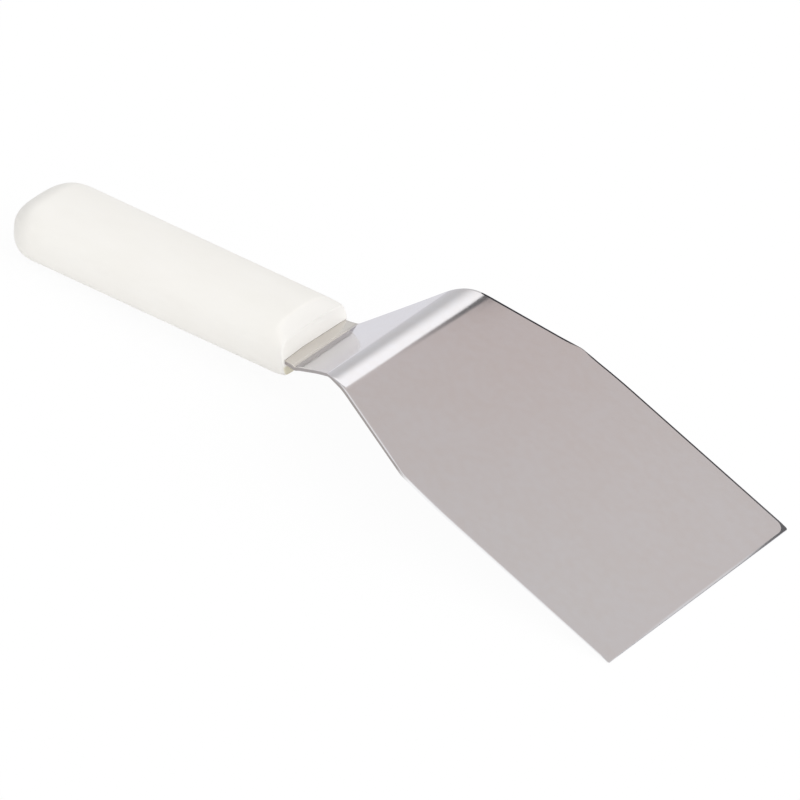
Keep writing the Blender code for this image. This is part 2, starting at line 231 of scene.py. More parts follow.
class TurnerHandleSizes(bpy.types.PropertyGroup):
    """Sizes of the moulded handle."""
    whole: length("Length", "Length behind the mouth", 121.7 * MM)
    front_width: length("Front width", "Width at the mouth", 36.0 * MM)
    front_height: length("Front height", "Height behind the nose", 20.2 * MM)
    butt_width: length("Butt width", "Width before the butt's rounding", 36.9 * MM)
    butt_height: length("Butt height", "Height before the butt's rounding", 20.8 * MM)
    drop: length("Drop", "How far the middle of the handle lies below the griddle face", 0.45 * MM)
    squareness: share("Squareness", "Exponent of the squared oval section", 2.9)
    nose: length("Nose", "Length of the sloped nose", 8.0 * MM)
    nose_rise: length("Nose rise", "Height of the front face above the griddle face", 6.3 * MM)
    nose_fall: length("Nose fall", "Depth of the front face below the griddle face", 5.9 * MM)
    nose_lean: angle("Nose lean", "How far the front face leans back", 11.0)
    nose_crown: share("Nose crown", "Exponent of the rounding over the nose's slope", 6.0)
    mouth_edge: length("Mouth edge", "Rounding of the front face's rim", 1.1 * MM)
    butt_bulge: length("Butt bulge", "How far the end's broad arc stands out", 4.4 * MM)
    butt_corner: length("Butt corner", "Rounding of the butt's corners in plan", 13.6 * MM)
    butt_rounding: length("Butt rounding", "Length over which the butt rounds off in side view", 10.8 * MM)
    front_hollow: length("Front hollow", "How far the front face's sides stand ahead of its middle", 0.75 * MM)
    seam: length("Seam", "Hair line between the plastic and the tang", 0.07 * MM)


class TurnerFinishes(bpy.types.PropertyGroup):
    """Colours and surface values of the steel and the plastic."""
    steel: colour("Steel", "Colour of the polished sheet", (0.721, 0.710, 0.729))
    steel_warm: colour("Warm steel", "Faint warm patches of the sheet", (0.713, 0.691, 0.698))
    cut_steel: colour("Cut steel", "Colour of the sheared edge", (0.40, 0.37, 0.36))
    ground_steel: colour("Ground steel", "Colour of the ground blade edge", (0.90, 0.90, 0.91))
    # Painted reflection: the lighter, warmer steel on the neck's foot stands in for the white handle mirrored there
    steel_painted_reflection: colour("Painted handle reflection", "Foot of the neck, painted as a reflection of the white handle", (0.772, 0.760, 0.738))
    # Painted shade with a painted warm reflection on the strip, where the handle and the bend close in on it
    strip_painted_shade: colour("Strip", "Steel between the handle and its bend, where the tint is strongest",
                        (0.700, 0.672, 0.634))
    # Where the painted reflection of the handle ends, and how long it fades
    painted_reflection_end: length("Straw end", "How far ahead of the mouth the painted reflection ends", 30.0 * MM)
    painted_reflection_fade: length("Straw fade", "Length over which the painted reflection fades", 14.0 * MM)
    steel_rim: colour("Rim tint", "How much of the light the steel mirrors at a glancing angle", (0.86, 0.86, 0.90))
    steel_roughness: share("Steel roughness", "Roughness of the polished sheet", 0.10)
    cut_roughness: share("Cut roughness", "Roughness of the sheared edge", 0.45)
    grain: length("Grain", "Spacing of the polishing lines", 0.25 * MM)
    plastic: colour("Plastic", "Colour of the handle", (0.855, 0.838, 0.803))
    plastic_shade: colour("Plastic shade", "Faint darker clouds in the handle's colour", (0.835, 0.815, 0.775))
    plastic_roughness: share("Plastic roughness", "Roughness of the moulded surface", 0.42)
    plastic_ior: share("Plastic IOR", "How strongly the plastic bends light", 1.49)
    plastic_clouds: length("Plastic clouds", "Size of the clouds in the plastic", 9.0 * MM)
    # Painted light: the flat front face is drawn lighter, as if lit by light bounced from the steel neck
    front_painted_light: colour("Plastic front", "Colour of the handle's flat front face", (0.972, 0.958, 0.925))
    # Painted shade: the nose's slope is drawn darker to hold back the light that it catches
    nose_painted_shade: colour("Plastic nose", "Colour of the slope above the front face", (0.790, 0.775, 0.747))
    # Painted shade: the front face below the tang is drawn darker and yellower where the tang shades it
    under_tang_painted_shade: colour("Under-tang painted shade", "Colour of the front face below the tang, painted as shade", (0.71, 0.67, 0.53))


class TurnerStudio(bpy.types.PropertyGroup):
    """Camera, floor and light."""
    azimuth: angle("Azimuth", "Direction from which the camera looks, round the object", 32.40)
    elevation: angle("Elevation", "Height of the camera above the horizon", 35.71)
    roll: angle("Roll", "Turn of the camera about its line of sight", 8.03)
    distance: length("Distance", "From the camera to the point that it looks at", 2.704)
    aim: FloatVectorProperty(name="Aim", description="Point that the camera looks at", size=3, unit="LENGTH",
                             default=(0.01503, 0.00229, 0.01107), precision=5)
    lens: share("Lens", "Focal length in millimetres", 366.8)
    floor: length("Floor radius", "Radius of the pale floor", 0.5)
    floor_colour: colour("Floor colour", "Colour of the floor where it lights the turner", (0.94, 0.94, 0.94))
    floor_shadow: share("Floor shadow", "Share of the floor's brightness that a shadow takes away", 0.06)
    sky: share("Sky", "Brightness of the soft light overhead", 0.62)
    horizon: share("Horizon", "Brightness of the soft light at the horizon", 0.67)
    key: share("Key", "Extra brightness of the soft light ahead of the turner", 1.33)
    key_from: FloatVectorProperty(name="Key from", description="Direction that the extra light comes from", size=3,
                                  default=(0.88, -0.18, 0.44), subtype="DIRECTION")
    key_mirrored: share("Key mirrored", "Share of the extra light's brightness that mirror images show", 0.22)
    card_distance: length("Card distance", "How far behind the turner the mirrored cards stand", 0.22)
    card_low: share("Card low", "Brightness of the light card in its lower part", 0.72)
    card_high: share("Card high", "Brightness of the light card in its upper part", 1.28)
    top_height: length("Top card height", "How far above the floor the card overhead hangs", 0.50)
    top_card: share("Top card", "Brightness of the card overhead, which the near edges mirror", 1.03)
    front_card: share("Front card", "Brightness of the card that the blade's front bevel mirrors", 0.86)
    card_foot: share("Card foot", "Extra brightness of the light card next to the floor", 0.10)
    grey_near: colour("Grey near", "Colour of the grey card at its left end", (0.673, 0.602, 0.579))
    grey_far: colour("Grey far", "Colour of the grey card at its right end", (0.725, 0.684, 0.668))
    grey_cool: colour("Grey cool", "Colour that the grey card turns towards in its upper part", (0.70, 0.72, 0.72))
    grey_cooling: share("Grey cooling", "Share of that colour in the grey card's upper part", 0.25)
    dark_card: colour("Dark card", "Colour of the dark card's upper part and right end", (0.16, 0.16, 0.165))
    dark_low: colour("Dark low", "Colour of the dark card's middle part", (0.035, 0.035, 0.04))
    dark_foot: colour("Dark foot", "Colour of the dark card next to the floor", (0.50, 0.495, 0.50))


class SheetForm:
    """The bent sheet worked out from its sizes: side view, outline, thickness and the fall of its griddle face."""

    def __init__(self, sizes):
        self.sizes = sizes
        plain = sizes.main_bend - sizes.ease
        first = sizes.main_bend_radius * tan(plain / 2)
        last = sizes.ease_radius * tan(sizes.ease / 2)
        tangent = sizes.main_bend_radius * tan(sizes.main_bend / 2)
        before = first + (first + last) * sin(sizes.ease) / sin(sizes.main_bend) - tangent
        after = last + (first + last) * sin(plain) / sin(sizes.main_bend) - tangent
        self.stretches = (
            (sizes.strip, 0.0),
            (sizes.handle_bend_radius * sizes.handle_bend, sizes.handle_bend),
            (sizes.neck - before, 0.0),
            (sizes.main_bend_radius * plain, -plain),
            (sizes.ease_radius * sizes.ease, -sizes.ease),
            (sizes.blade - after, 0.0),
        )
        self.front = sum(run for run, _ in self.stretches)
        self.blade_start = self.front - sizes.blade
        self.outline = self.blank_outline()

    def blank_outline(self):
        """Half outline of the flat blank, from the tang's end to the front edge."""
        s = self.sizes
        bend_middle = self.blade_start - s.main_bend_radius * s.main_bend / 2
        shoulder_end = self.blade_start + s.shoulder
        corners = [
            ((-s.tang, 0.0), 0.0),
            ((-s.tang, s.tang_end_width / 2), s.tang_end_radius),
            ((-s.tang_parallel, s.tang_width / 2), s.tang_waist_radius),
            ((s.neck_foot, s.tang_width / 2), s.neck_foot_radius),
            ((s.waist, s.waist_width / 2), s.waist_radius),
            ((bend_middle, s.neck_top_width / 2), s.neck_top_radius),
            ((shoulder_end, s.shoulder_width / 2), s.shoulder_radius),
            ((shoulder_end + s.side_ease, s.blade_width / 2), s.side_ease_radius),
            ((self.front, s.blade_width / 2), s.front_radius),
            ((self.front, 0.0), 0.0),
        ]
        outline = []
        for (before, _), (corner, radius), (after, _) in zip(corners, corners[1:], corners[2:]):
            outline.extend(rounded_corner(before, corner, after, radius))
        return outline

    def half_width(self, run):
        """Half width of the blank at one distance ahead of the mouth."""
        for near, far in zip(self.outline, self.outline[1:]):
            if near.x <= run <= far.x and far.x > near.x:
                return near.y + (far.y - near.y) * (run - near.x) / (far.x - near.x)
        return self.outline[0].y if run < self.outline[0].x else self.outline[-1].y

    def side_view(self, run):
        """Point on the griddle face in side view, and its slope."""
        x, z, slope = min(run, 0.0), 0.0, 0.0
        left = max(run, 0.0)
        for stretch, turn in self.stretches:
            part = min(left, stretch)
            if turn:
                radius = stretch / turn
                bent = slope + part / radius
                x += radius * (sin(bent) - sin(slope))
                z += radius * (cos(slope) - cos(bent))
                slope = bent
            else:
                x += part * cos(slope)
                z += part * sin(slope)
            left -= part
        return x, z, slope

    def thickness(self, run):
        """Thickness of the sheet, ground away on the food side from the main bend to the front edge."""
        ground = max(0.0, run - self.blade_start) / self.sizes.blade
        return self.sizes.stock + (self.sizes.tip - self.sizes.stock) * ground

    def ground_share(self, run):
        """0 where the sheet's edge is as sheared, 1 along the blade's ground sides."""
        s = self.sizes
        middle = self.blade_start + s.shoulder
        return min(1.0, max(0.0, (run - middle) / s.ground_start + 0.5))

    def roll_share(self, run):
        """Share of the full roll that the edge has at one distance ahead of the mouth."""
        return 1 - (1 - self.sizes.ground_roll) * self.ground_share(run)

    def roll(self, run, inset):
        """How far the griddle face has rolled down at a distance from the blank's edge."""
        share = self.roll_share(run)
        part = max(0.0, 1.0 - inset / (self.sizes.roll_width * share))
        return self.sizes.roll_depth * share * (1 - sqrt(max(0.0, 1 - part * part)))

    def bevel_fall(self, run, inset):
        """How far the bevel has fallen below the blade's plane, at a distance from the side."""
        s = self.sizes
        width = s.bevel + (s.shoulder_bevel - s.bevel) * (1 - self.ground_share(run))
        reach = width + s.bevel_corner
        past_side = max(0.0, reach - inset)
        past_front = max(0.0, reach - (self.front - run))
        past = hypot(past_side, past_front) - s.bevel_corner
        if past <= 0:
            return 0.0
        bend = s.main_bend_radius * s.main_bend
        grown = min(1.0, max(0.0, (run - self.blade_start + bend) / bend))
        corner = abs(run - self.blade_start - s.shoulder) / s.bevel_break
        share = grown * min(1.0, corner * corner)
        return share * tan(s.bevel_slope) * (past - s.bevel_start * (1 - exp(-past / s.bevel_start)))

    def columns(self, run, half_width):
        """Places across the griddle face, close together in the roll and near the sides."""
        s = self.sizes
        roll = s.roll_width * self.roll_share(run)
        turns = [pi / 2 * i / ROLL_FACETS for i in range(ROLL_FACETS + 1)]
        places = [half_width - roll * (1 - sin(turn)) for turn in reversed(turns)]
        side = min(half_width / 2, s.bevel + s.bevel_corner)
        inner = half_width - roll
        places += [inner - side * (i + 1) / SIDE_COLUMNS for i in range(SIDE_COLUMNS)]
        middle = inner - side
        places += [middle * (1 - (i + 1) / MIDDLE_COLUMNS) for i in range(MIDDLE_COLUMNS)]
        return places + [-place for place in reversed(places[:-1])]

    def runs(self):
        """Distances from the mouth at which the sheet has a cross-section."""
        runs = [point.x for point in self.outline]
        start = 0.0
        for stretch, turn in self.stretches:
            step = abs(turn) / ARC_PER_FACET if turn else stretch / SHEET_STEP
            count = max(1, round(step))
            runs += [start + stretch * i / count for i in range(count + 1)]
            start += stretch
        fine = round(FRONT_ZONE / FRONT_STEP)
        runs += [self.front - FRONT_ZONE * i / fine for i in range(fine)]
        roll = self.sizes.roll_width * self.sizes.ground_roll
        runs += [self.front - roll * (1 - cos(pi / 2 * i / ROLL_FACETS)) for i in range(ROLL_FACETS + 1)]
        kept = []
        for run in sorted(runs):
            if not kept or run - kept[-1] > self.sizes.broken_edge / 2:
                kept.append(run)
        kept[-1] = self.front
        return kept

    def ring(self, run):
        """Cross-section: points of the griddle face, then of the food side, with their places on the blank."""
        s = self.sizes
        x, z, slope = self.side_view(run)
        thickness = self.thickness(run)
        half_width = self.half_width(run)
        ahead = self.front - run
        profile = []
        columns = self.columns(run, half_width)
        for across in columns:
            inset = half_width - abs(across)
            fall = self.roll(run, min(inset, ahead)) + self.bevel_fall(run, inset)
            profile.append((across, min(fall, thickness - 2 * s.broken_edge)))
        profile.append((-half_width, thickness - s.broken_edge))
        under = [across * (half_width - s.broken_edge) / half_width for across in columns]
        profile += [(across, thickness) for across in reversed(under)]
        profile.append((half_width, thickness - s.broken_edge))
        return [(Vector((x + down * sin(slope), across, z - down * cos(slope))), Vector((run, across, down)))
                for across, down in profile]


class HandleForm:
    """The handle's outer form worked out from its sizes, with x ahead of the mouth and z above the griddle face."""

    def __init__(self, sizes):
        self.sizes = sizes

    def plan_half_width(self, run):
        """Half width in plan: parallel sides, round corners and a broad arc for an end."""
        s = self.sizes
        half = s.butt_width / 2
        arc = (half * half + s.butt_bulge * s.butt_bulge) / (2 * s.butt_bulge)
        corner = min(s.butt_corner, half)
        arc_centre = s.whole - arc
        corner_side = half - corner
        corner_run = arc_centre + sqrt((arc - corner) ** 2 - corner_side ** 2)
        touch = arc_centre + (corner_run - arc_centre) * arc / (arc - corner)
        if run <= corner_run:
            return half
        if run <= touch:
            return corner_side + sqrt(max(0.0, corner ** 2 - (run - corner_run) ** 2))
        return sqrt(max(0.0, arc ** 2 - (run - arc_centre) ** 2))

    def rim_inset(self, run):
        """How far the small rounding round the front face draws the sides in."""
        rim = self.sizes.mouth_edge
        left = max(0.0, rim - run)
        return rim - sqrt(rim ** 2 - left ** 2)

    def under_nose(self, up, half_height, run):
        """Height of a point of the section once the nose's slope has drawn it in."""
        s = self.sizes
        if up == 0 or run >= s.nose:
            return up
        face = s.nose_rise + s.drop if up > 0 else s.nose_fall - s.drop
        least = min(1.0, face / half_height)
        part = least + (1 - least) * sin(pi / 2 * run / s.nose)
        limit = (abs(up) / half_height) ** s.nose_crown * (part ** -s.nose_crown - 1)
        return up / (1 + limit) ** (1 / s.nose_crown)

    def ring(self, run):
        """Cross-section at a distance behind the mouth: a squared oval."""
        s = self.sizes
        along = run / s.whole
        taper = s.front_width / s.butt_width
        inset = self.rim_inset(run)
        half_width = self.plan_half_width(run) * (taper + (1 - taper) * along) - inset
        height = s.front_height + (s.butt_height - s.front_height) * along
        past = max(0.0, run - s.whole + s.butt_rounding) / s.butt_rounding
        half_height = height / 2 * sqrt(max(0.0, 1 - past * past)) - inset
        ring = []
        for i in range(HANDLE_POINTS):
            turn = 2 * pi * i / HANDLE_POINTS
            wide = abs(cos(turn)) / half_width
            high = abs(sin(turn)) / half_height
            reach = (wide ** s.squareness + high ** s.squareness) ** (-1 / s.squareness)
            rise = self.under_nose(reach * sin(turn), half_height, run) - s.drop
            across = reach * cos(turn)
            hollow = s.front_hollow * ((across / s.front_width * 2) ** 2 - LEVEL_SHARE)
            lean = (rise * tan(s.nose_lean) - hollow) * max(0.0, 1 - run / s.nose)
            ring.append(Vector((-run - lean, across, rise)))
        return ring

    def runs(self):
        """Distances behind the mouth at which the handle has a cross-section."""
        s = self.sizes
        butt = max(s.butt_rounding, s.butt_corner + s.butt_bulge)
        slope = s.nose - s.mouth_edge
        body = s.whole - butt - s.nose
        runs = [s.mouth_edge * (1 - cos(pi / 2 * i / MOUTH_RINGS)) for i in range(MOUTH_RINGS + 1)]
        runs += [s.mouth_edge + slope * i / NOSE_RINGS for i in range(1, NOSE_RINGS + 1)]
        runs += [s.nose + body * i / BODY_RINGS for i in range(1, BODY_RINGS + 1)]
        return runs + [s.whole - butt * (1 - sin(pi / 2 * i / BUTT_RINGS)) for i in range(1, BUTT_RINGS - 1)]


class Value:
    """A number that changes over a surface. Arithmetic on it adds the Math nodes that work it out."""

    def __init__(self, nodes, socket):
        self.nodes = nodes
        self.socket = socket

    def math(self, operation, *values):
        """One Math node on these numbers or sockets."""
        return self.nodes.make("ShaderNodeMath", {"operation": operation}, dict(enumerate(values))).value()

    def __add__(self, other):
        return self.math("ADD", self, other)

    def __radd__(self, other):
        return self.math("ADD", other, self)

    def __sub__(self, other):
        return self.math("SUBTRACT", self, other)

    def __rsub__(self, other):
        return self.math("SUBTRACT", other, self)

    def __mul__(self, other):
        return self.math("MULTIPLY", self, other)

    def __rmul__(self, other):
        return self.math("MULTIPLY", other, self)

    def limited(self):
        """The number kept between 0 and 1."""
        return self.math("MINIMUM", self.math("MAXIMUM", self, 0.0), 1.0)

    def step(self, low, high):
        """Smooth rise from 0 at low to 1 at high."""
        return self.nodes.make("ShaderNodeMapRange", {"interpolation_type": "SMOOTHSTEP"},
                               {"Value": self, "From Min": low, "From Max": high}).value()


class Made:
    """A node that has been made, with its outputs at hand."""

    def __init__(self, nodes, node):
        self.nodes = nodes
        self.node = node

    def value(self, output=0):
        """One output as a number for arithmetic."""
        return Value(self.nodes, self.node.outputs[output])

    def out(self, output=0):
        """One output as it is, such as a colour, a vector or a shader."""
        return self.node.outputs[output]


class Nodes:
    """Makes the nodes of one material or world."""

    def __init__(self, tree):
        self.tree = tree

    def make(self, kind, settings, inputs):
        """One node of a kind, with its settings and then its inputs, which are values, numbers or sockets."""
        node = self.tree.nodes.new(kind)
        for name, value in settings.items():
            setattr(node, name, value)
        self.feed(node, inputs)
        return Made(self, node)

    def feed(self, node, inputs):
        """Link or set a node's inputs."""
        for name, value in inputs.items():
            socket = node.inputs[name]
            if isinstance(value, Value):
                self.tree.links.new(value.socket, socket)
            elif isinstance(value, bpy.types.NodeSocket):
                self.tree.links.new(value, socket)
            else:
                socket.default_value = value

    def surface(self, shader):
        """Make a shader the material's surface."""
        self.feed(self.tree.nodes["Material Output"], {"Surface": shader})

    def place(self):
        """Place on the object, in metres."""
        return self.make("ShaderNodeTexCoord", {}, {}).out("Object")

    def parts(self, vector):
        """The three parts of a vector, as numbers."""
        split = self.make("ShaderNodeSeparateXYZ", {}, {0: vector})
        return [split.value(axis) for axis in "XYZ"]

    def bump(self, height, strength=1.0):
        """The normal that a fine relief gives."""
        return self.make("ShaderNodeBump", {}, {"Height": height, "Strength": strength, "Distance": 1.0}).out()

    def blend(self, amount, first, second):
        """Mix of two colours, from the first at 0 to the second at 1."""
        return self.make("ShaderNodeMix", {"data_type": "RGBA"},
                         {"Factor": amount, "A": opaque(first), "B": opaque(second)}).out("Result")

    def noise(self, place, spacing, detail, stretch=(1.0, 1.0, 1.0)):
        """Soft noise round zero, with lumps of about the given spacing along each axis."""
        scale = [1 / (spacing * part) for part in stretch]
        scaled = self.make("ShaderNodeVectorMath", {"operation": "MULTIPLY"}, {0: place, 1: scale}).out()
        return self.make("ShaderNodeTexNoise", {}, {"Vector": scaled, "Scale": 1.0, "Detail": detail}).value() - 0.5


def opaque(value):
    """A colour with its alpha, or a socket as it is."""
    return (*value, 1.0) if hasattr(value, "__len__") else value


def rounded_corner(before, corner, after, radius):
    """Points of the arc that rounds one corner of an outline, tangent to both of its sides."""
    to_before = Vector(before) - Vector(corner)
    to_after = Vector(after) - Vector(corner)
    start, end = to_before.normalized(), to_after.normalized()
    turn = pi - start.angle(end)
    if turn < STRAIGHT_TURN:
        return [Vector(corner)]
    longest = LARGEST_CORNER_SHARE * min(to_before.length, to_after.length)
    reach = min(radius * tan(turn / 2), longest)
    centre = Vector(corner) + (start + end).normalized() * hypot(reach / tan(turn / 2), reach)
    first = Vector(corner) + start * reach - centre
    last = Vector(corner) + end * reach - centre
    side = 1.0 if first.cross(last) > 0 else -1.0
    steps = max(1, round(turn / ARC_PER_FACET))
    return [centre + Matrix.Rotation(side * turn * i / steps, 2) @ first for i in range(steps + 1)]


def skin(bm, rings):
    """Join closed rings of points, one after another, and cap both ends."""
    loops = [[bm.verts.new(point) for point in ring] for ring in rings]
    for near, far in zip(loops, loops[1:]):
        for i in range(len(near)):
            j = (i + 1) % len(near)
            bm.faces.new((near[i], near[j], far[j], far[i]))
    bm.faces.new(loops[0])
    bm.faces.new(reversed(loops[-1]))


def smooth(mesh):
    """Shade a mesh smooth between its sharp edges."""
    mesh.shade_smooth()
    mesh.set_sharp_from_angle(angle=SMOOTH_LIMIT)


def new_object(name, bm):
    """An object with this mesh, in the scene, with its faces pointing out."""
    bmesh.ops.recalc_face_normals(bm, faces=bm.faces)
    mesh = bpy.data.meshes.new(name)
    bm.to_mesh(mesh)
    bm.free()
    smooth(mesh)
    item = bpy.data.objects.new(name, mesh)
    bpy.context.scene.collection.objects.link(item)
    return item


def cut(target, bm):
    """Cut one object by a closed shape, and leave nothing of the cutter."""
    cutter = new_object("cutter", bm)
    modifier = target.modifiers.new("cut", "BOOLEAN")
    modifier.operation = "DIFFERENCE"
    modifier.solver = "EXACT"
    modifier.object = cutter
    deps = bpy.context.evaluated_depsgraph_get()
    whole = bpy.data.meshes.new_from_object(target.evaluated_get(deps))
    target.modifiers.remove(modifier)
    target.data = whole
    bpy.data.objects.remove(cutter, do_unlink=True)
    smooth(target.data)


def lock_posts(sizes, diameter):
    """Upright cylinders at the tang's lock holes."""
    bm = bmesh.new()
    span = sizes.tang - 2 * sizes.hole_margin
    for i in range(sizes.hole_count):
        place = sizes.hole_margin + span * i / max(1, sizes.hole_count - 1)
        centre = Matrix.Translation((-place, 0.0, -sizes.stock / 2))
        bmesh.ops.create_cone(bm, cap_ends=True, segments=CIRCLE_SIDES, radius1=diameter / 2,
                              radius2=diameter / 2, depth=POST_HEIGHT * sizes.stock, matrix=centre)
    return bm


def tang_pocket(sheet, form, seam, overrun):
    """The space that the tang takes in the handle, open past the mouth, with the lock posts left standing."""
    runs = [-sheet.tang - seam] + [point.x for point in form.outline if -sheet.tang < point.x < 0] + [0.0, overrun]
    top, bottom = seam, -sheet.stock - seam
    bm = bmesh.new()
    rings = []
    for run in runs:
        across = form.half_width(min(run, 0.0)) + seam
        rings.append([Vector((run, side, up)) for side, up in
                      ((across, top), (-across, top), (-across, bottom), (across, bottom))])
    skin(bm, rings)
    pocket = new_object("pocket", bm)
    cut(pocket, lock_posts(sheet, sheet.hole - 2 * seam))
    made = bmesh.new()
    made.from_mesh(pocket.data)
    bpy.data.objects.remove(pocket, do_unlink=True)
    return made


def seat(item, node):
    """Tilt a piece as the turner lies and place it in its CAD node's box. Gives the place of the mouth."""
    sheet = bpy.context.scene.turner_sheet
    tilt = sheet.main_bend - sheet.handle_bend - atan2(FLAT_FACE_AXIS.x, FLAT_FACE_AXIS.z)
    turned = Matrix.Rotation(-tilt, 4, "Y")
    points = [turned @ vertex.co for vertex in item.data.vertices]
    low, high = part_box(node)
    if node == "handle":
        ahead = low.x - min(point.x for point in points)
    else:
        ahead = high.x - max(point.x for point in points)
    up = low.z - min(point.z for point in points)
    place = Matrix.Translation((ahead, 0.0, up)) @ turned
    item.data.transform(place)
    return place.translation


def dress(item, node, material):
    """Give a piece its finish, and let it stand for its CAD node."""
    item.data.materials.clear()
    item.data.materials.append(material)
    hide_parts(node)
    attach(item, ROOT)


def new_material(name):
    """An empty node material with its Principled shader."""
    material = bpy.data.materials.new(name)
    material.use_nodes = True
    tree = material.node_tree
    return material, Nodes(tree), tree.nodes["Principled BSDF"]


def satin_steel(finish, form):
    """Ground and polished stainless sheet, with fine lines, faint clouds, a sheared edge and a ground one, a painted
    reflection of the handle on the neck's foot and painted shade on the strip next to the handle.
    """
    material, nodes, shader = new_material("satin_stainless_steel")
    sheet = nodes.make("ShaderNodeAttribute", {"attribute_name": "blank_place"}, {}).out("Vector")
    run, across, _ = nodes.parts(sheet)
    side = nodes.make("ShaderNodeAttribute", {"attribute_name": "edge_face"}, {}).value("Fac")
    middle, half = form.blade_start + form.sizes.shoulder, form.sizes.ground_start / 2
    ground = run.step(middle - half, middle + half)
    clouds = nodes.noise(sheet, STEEL_CLOUDS, detail=3.0)
    specks = nodes.noise(sheet, STEEL_SPECKS, detail=3.0)
    lines = nodes.noise(sheet, finish.grain, detail=1.0, stretch=GRAIN_STRETCH)
    warm = (clouds * WARM_CLOUDS + specks * WARM_SPECKS + 0.5).limited()
    polished = nodes.blend(warm, finish.steel, finish.steel_warm)
    # Painted reflection of the white handle on the neck's foot, strongest on one side of the neck
    painted_reflection = 1 - run.step(finish.painted_reflection_end - finish.painted_reflection_fade, finish.painted_reflection_end)
    polished = nodes.blend(painted_reflection * (1 - across.step(*PAINTED_REFLECTION_SIDE)), polished, finish.steel_painted_reflection)
    # Painted shade, with a warm painted reflection, on the strip before the handle's bend
    past_strip_shade = run.step(*[form.sizes.strip * part for part in STRIP_SHADE_CHANGE])
    polished = nodes.blend(past_strip_shade, finish.strip_painted_shade, polished)
    edge = nodes.blend(ground, finish.cut_steel, finish.ground_steel)
    satin = finish.steel_roughness + specks * ROUGH_SPECKS + lines * ROUGH_GRAIN
    edge_roughness = finish.cut_roughness - ground * (finish.cut_roughness - finish.steel_roughness)
    relief = lines * GRAIN_HEIGHT + clouds * STEEL_CLOUD_HEIGHT
    nodes.feed(shader, {
        "Base Color": nodes.blend(side, polished, edge),
        "Roughness": satin + side * (edge_roughness - satin),
        "Normal": nodes.bump(relief, STEEL_RELIEF),
        "Metallic": 1.0,
        "Specular Tint": opaque(finish.steel_rim),
    })
    return material


def moulded_plastic(finish, mouth):
    """White moulded polypropylene: fine texture, faint clouds, painted shade on the nose's slope and below the tang,
    and painted light on the front face.
    """
    material, nodes, shader = new_material("white_polypropylene")
    place = nodes.place()
    _, across, height = nodes.parts(place)
    above = height - mouth.z
    ahead, _, _ = nodes.parts(nodes.make("ShaderNodeNewGeometry", {}, {}).out("Normal"))
    clouds = nodes.noise(place, finish.plastic_clouds, detail=4.0, stretch=CLOUD_STRETCH)
    pores = nodes.noise(place, PORES, detail=2.0)
    whole = nodes.blend((clouds * SHADE_CLOUDS + 0.5).limited(), finish.plastic, finish.plastic_shade)
    # Painted shade on the nose's slope, over the mottled plastic
    nose = nodes.blend(ahead.step(*NOSE_SHADE_FACING), whole, finish.nose_painted_shade)
    # Painted light on the front face, strongest low down and towards one side
    flat = ahead.step(*FRONT_FACING)
    even = across.step(*FRONT_LIGHT_SIDE) * (1 - FRONT_LIGHT_LEAST) + FRONT_LIGHT_LEAST
    painted_front_light = flat * even * (1 - above.step(*FRONT_LIGHT_RISE) * FRONT_LIGHT_DIMMING)
    # The nose's colour with the front face's painted light on it
    front = nodes.blend(painted_front_light, nose, finish.front_painted_light)
    # Painted shade on the front face below the tang
    painted_under_tang_shade = flat * (1 - above.step(*UNDER_TANG_SHADE_RISE))
    nodes.feed(shader, {
        "Base Color": nodes.blend(painted_under_tang_shade, front, finish.under_tang_painted_shade),
        "Roughness": finish.plastic_roughness + clouds * ROUGH_CLOUDS + pores * ROUGH_PORES,
        "Normal": nodes.bump(pores * PORE_HEIGHT + clouds * PLASTIC_CLOUD_HEIGHT),
        "IOR": finish.plastic_ior,
    })
    return material


def ray_kinds(nodes):
    """Three numbers, each 1 for its rays: those from the camera, of a mirror image, and through glass."""
    path = nodes.make("ShaderNodeLightPath", {}, {})
    return path.value("Is Camera Ray"), path.value("Is Glossy Ray"), path.value("Is Transmission Ray")


def studio_world(studio):
    """White behind the turner, and soft light all round it, strongest from ahead."""
    world = bpy.data.worlds.new("soft_studio")
    world.use_nodes = True
    world.node_tree.nodes.clear()
    nodes = Nodes(world.node_tree)
    place = nodes.make("ShaderNodeTexCoord", {}, {}).out("Generated")
    _, _, up = nodes.parts(place)
    towards = Vector(studio.key_from).normalized()
    key = nodes.make("ShaderNodeVectorMath", {"operation": "DOT_PRODUCT"}, {0: place, 1: towards}).value("Value")
    seen, glossy, _ = ray_kinds(nodes)
    extra = key.step(*KEY_SPREAD) * studio.key * (1 - glossy * (1 - studio.key_mirrored))
    level = studio.horizon + up.step(*SKY_RISE) * (studio.sky - studio.horizon) + extra
    strength = level + seen * (1.0 - level)
    light = nodes.make("ShaderNodeBackground", {}, {"Color": (1, 1, 1, 1), "Strength": strength}).out()
    nodes.make("ShaderNodeOutputWorld", {}, {"Surface": light})
    bpy.context.scene.world = world


def floor_material(studio):
    """Pale floor: white to the eye and in the steel, with the turner's soft shadow on it."""
    material, nodes, shader = new_material("pale_floor")
    nodes.feed(shader, {"Base Color": opaque(studio.floor_colour), "Roughness": 1.0, "Specular IOR Level": 0.0})
    seen, glossy, through = ray_kinds(nodes)
    white = nodes.make("ShaderNodeEmission", {}, {"Color": (1, 1, 1, 1), "Strength": 1.0}).out()
    amount = (seen + glossy + through).limited() * (1 - studio.floor_shadow)
    nodes.surface(nodes.make("ShaderNodeMixShader", {}, {0: amount, 1: shader.outputs[0], 2: white}).out())
    return material


def glowing(name, paint):
    """A card's material, whose colour comes from the place on the card."""
    material, nodes, shader = new_material(name)
    shade = paint(nodes, *nodes.parts(nodes.place()))
    nodes.surface(nodes.make("ShaderNodeEmission", {}, {"Color": shade, "Strength": 1.0}).out())
    nodes.tree.nodes.remove(shader)
    return material


